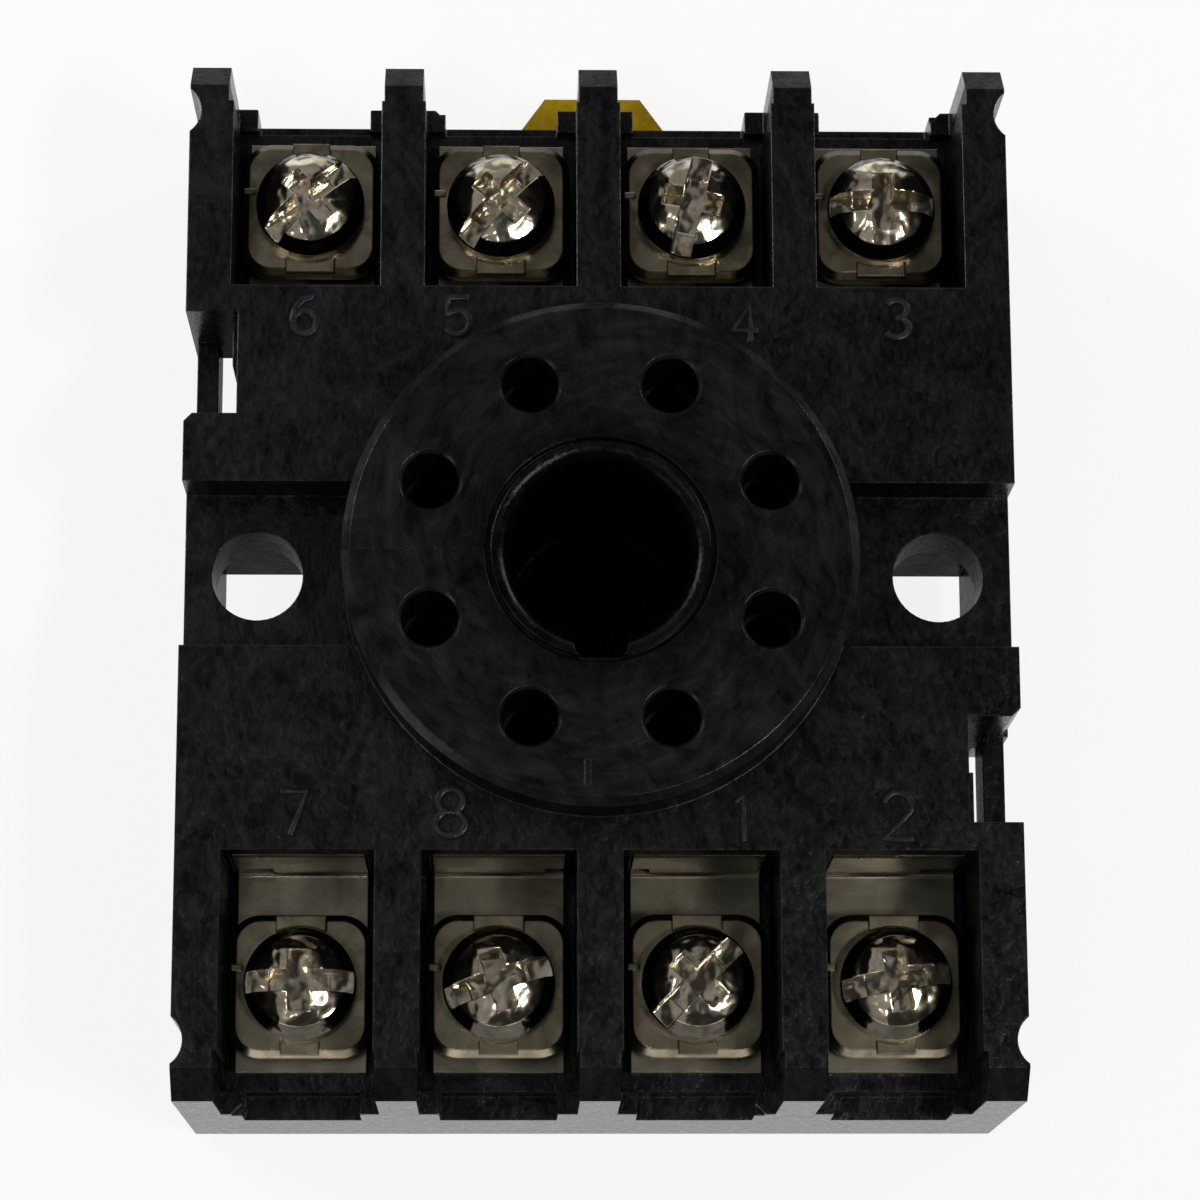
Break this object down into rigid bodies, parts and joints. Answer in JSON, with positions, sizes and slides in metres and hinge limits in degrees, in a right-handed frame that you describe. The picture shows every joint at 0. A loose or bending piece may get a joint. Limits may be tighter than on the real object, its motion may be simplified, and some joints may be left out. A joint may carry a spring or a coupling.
{
  "type": "relay socket",
  "caption": "Round-pin relay socket with a keyed centre hole, screw terminals between barriers on both ends, mounting holes and a sliding rail latch.",
  "frame": {"origin": "centre of the rail channel in the plane of the back face, under the centre of the key hole", "axes": "+X along a terminal row, +Y along the body towards the latch, +Z out of the plug face"},
  "size_m": [0.04, 0.0539, 0.0201],
  "materials": {
    "housing_plastic": "black moulded resin with faint flow marks",
    "base_plastic": "black moulded resin",
    "latch_plastic": "ochre yellow moulded resin",
    "strip_metal": "nickel plate, satin",
    "clamp_metal": "nickel plate, satin",
    "screw_metal": "nickel plate, bright"
  },
  "bodies": {
    "body": {"housing": "housing_plastic", "base": "base_plastic", "contact_1": "strip_metal", "contact_2": "strip_metal", "contact_3": "strip_metal", "contact_4": "strip_metal", "contact_5": "strip_metal", "contact_6": "strip_metal", "contact_7": "strip_metal", "contact_8": "strip_metal"},
    "latch": {"latch": "latch_plastic"},
    "clamp_1": {"clamp_1": "clamp_metal"},
    "screw_1": {"screw_1": "screw_metal"},
    "clamp_2": {"clamp_2": "clamp_metal"},
    "screw_2": {"screw_2": "screw_metal"},
    "clamp_3": {"clamp_3": "clamp_metal"},
    "screw_3": {"screw_3": "screw_metal"},
    "clamp_4": {"clamp_4": "clamp_metal"},
    "screw_4": {"screw_4": "screw_metal"},
    "clamp_5": {"clamp_5": "clamp_metal"},
    "screw_5": {"screw_5": "screw_metal"},
    "clamp_6": {"clamp_6": "clamp_metal"},
    "screw_6": {"screw_6": "screw_metal"},
    "clamp_7": {"clamp_7": "clamp_metal"},
    "screw_7": {"screw_7": "screw_metal"},
    "clamp_8": {"clamp_8": "clamp_metal"},
    "screw_8": {"screw_8": "screw_metal"}
  },
  "joints": [
    {"name": "latch_slide", "type": "slide", "parent": "body", "child": "latch", "axis": [0, 1, 0], "range_m": [0, 0.003]},
    {"name": "clamp_1_slide", "type": "slide", "parent": "body", "child": "clamp_1", "axis": [0, 0, 1], "range_m": [-0.00093, 0.00175]},
    {"name": "screw_1_turn", "type": "hinge", "parent": "clamp_1", "child": "screw_1", "pos_m": [0.00477, -0.0195, 0.011], "axis": [0, 0, 1], "range_deg": [-558.1, 1050.1]},
    {"name": "clamp_2_slide", "type": "slide", "parent": "body", "child": "clamp_2", "axis": [0, 0, 1], "range_m": [-0.00083, 0.00185]},
    {"name": "screw_2_turn", "type": "hinge", "parent": "clamp_2", "child": "screw_2", "pos_m": [0.01428, -0.0195, 0.011], "axis": [0, 0, 1], "range_deg": [-498.1, 1110.1]},
    {"name": "clamp_3_slide", "type": "slide", "parent": "body", "child": "clamp_3", "axis": [0, 0, 1], "range_m": [-0.00073, 0.00195]},
    {"name": "screw_3_turn", "type": "hinge", "parent": "clamp_3", "child": "screw_3", "pos_m": [0.01428, 0.0195, 0.011], "axis": [0, 0, 1], "range_deg": [-438.1, 1170.1]},
    {"name": "clamp_4_slide", "type": "slide", "parent": "body", "child": "clamp_4", "axis": [0, 0, 1], "range_m": [-0.00078, 0.0019]},
    {"name": "screw_4_turn", "type": "hinge", "parent": "clamp_4", "child": "screw_4", "pos_m": [0.00477, 0.0195, 0.011], "axis": [0, 0, 1], "range_deg": [-468.1, 1140.1]},
    {"name": "clamp_5_slide", "type": "slide", "parent": "body", "child": "clamp_5", "axis": [0, 0, 1], "range_m": [-0.00093, 0.00175]},
    {"name": "screw_5_turn", "type": "hinge", "parent": "clamp_5", "child": "screw_5", "pos_m": [-0.00477, 0.0195, 0.011], "axis": [0, 0, 1], "range_deg": [-558.1, 1050.1]},
    {"name": "clamp_6_slide", "type": "slide", "parent": "body", "child": "clamp_6", "axis": [0, 0, 1], "range_m": [-0.00108, 0.0016]},
    {"name": "screw_6_turn", "type": "hinge", "parent": "clamp_6", "child": "screw_6", "pos_m": [-0.01428, 0.0195, 0.011], "axis": [0, 0, 1], "range_deg": [-648.1, 960.1]},
    {"name": "clamp_7_slide", "type": "slide", "parent": "body", "child": "clamp_7", "axis": [0, 0, 1], "range_m": [-0.00058, 0.0021]},
    {"name": "screw_7_turn", "type": "hinge", "parent": "clamp_7", "child": "screw_7", "pos_m": [-0.01428, -0.0195, 0.011], "axis": [0, 0, 1], "range_deg": [-348.1, 1260.1]},
    {"name": "clamp_8_slide", "type": "slide", "parent": "body", "child": "clamp_8", "axis": [0, 0, 1], "range_m": [-0.00078, 0.0019]},
    {"name": "screw_8_turn", "type": "hinge", "parent": "clamp_8", "child": "screw_8", "pos_m": [-0.00477, -0.0195, 0.011], "axis": [0, 0, 1], "range_deg": [-468.1, 1140.1]}
  ],
  "couplings": [
    {"joint": "screw_1_turn", "follows": "clamp_1_slide", "rad_per_m": 10472},
    {"joint": "screw_2_turn", "follows": "clamp_2_slide", "rad_per_m": 10472},
    {"joint": "screw_3_turn", "follows": "clamp_3_slide", "rad_per_m": 10472},
    {"joint": "screw_4_turn", "follows": "clamp_4_slide", "rad_per_m": 10472},
    {"joint": "screw_5_turn", "follows": "clamp_5_slide", "rad_per_m": 10472},
    {"joint": "screw_6_turn", "follows": "clamp_6_slide", "rad_per_m": 10472},
    {"joint": "screw_7_turn", "follows": "clamp_7_slide", "rad_per_m": 10472},
    {"joint": "screw_8_turn", "follows": "clamp_8_slide", "rad_per_m": 10472}
  ]
}
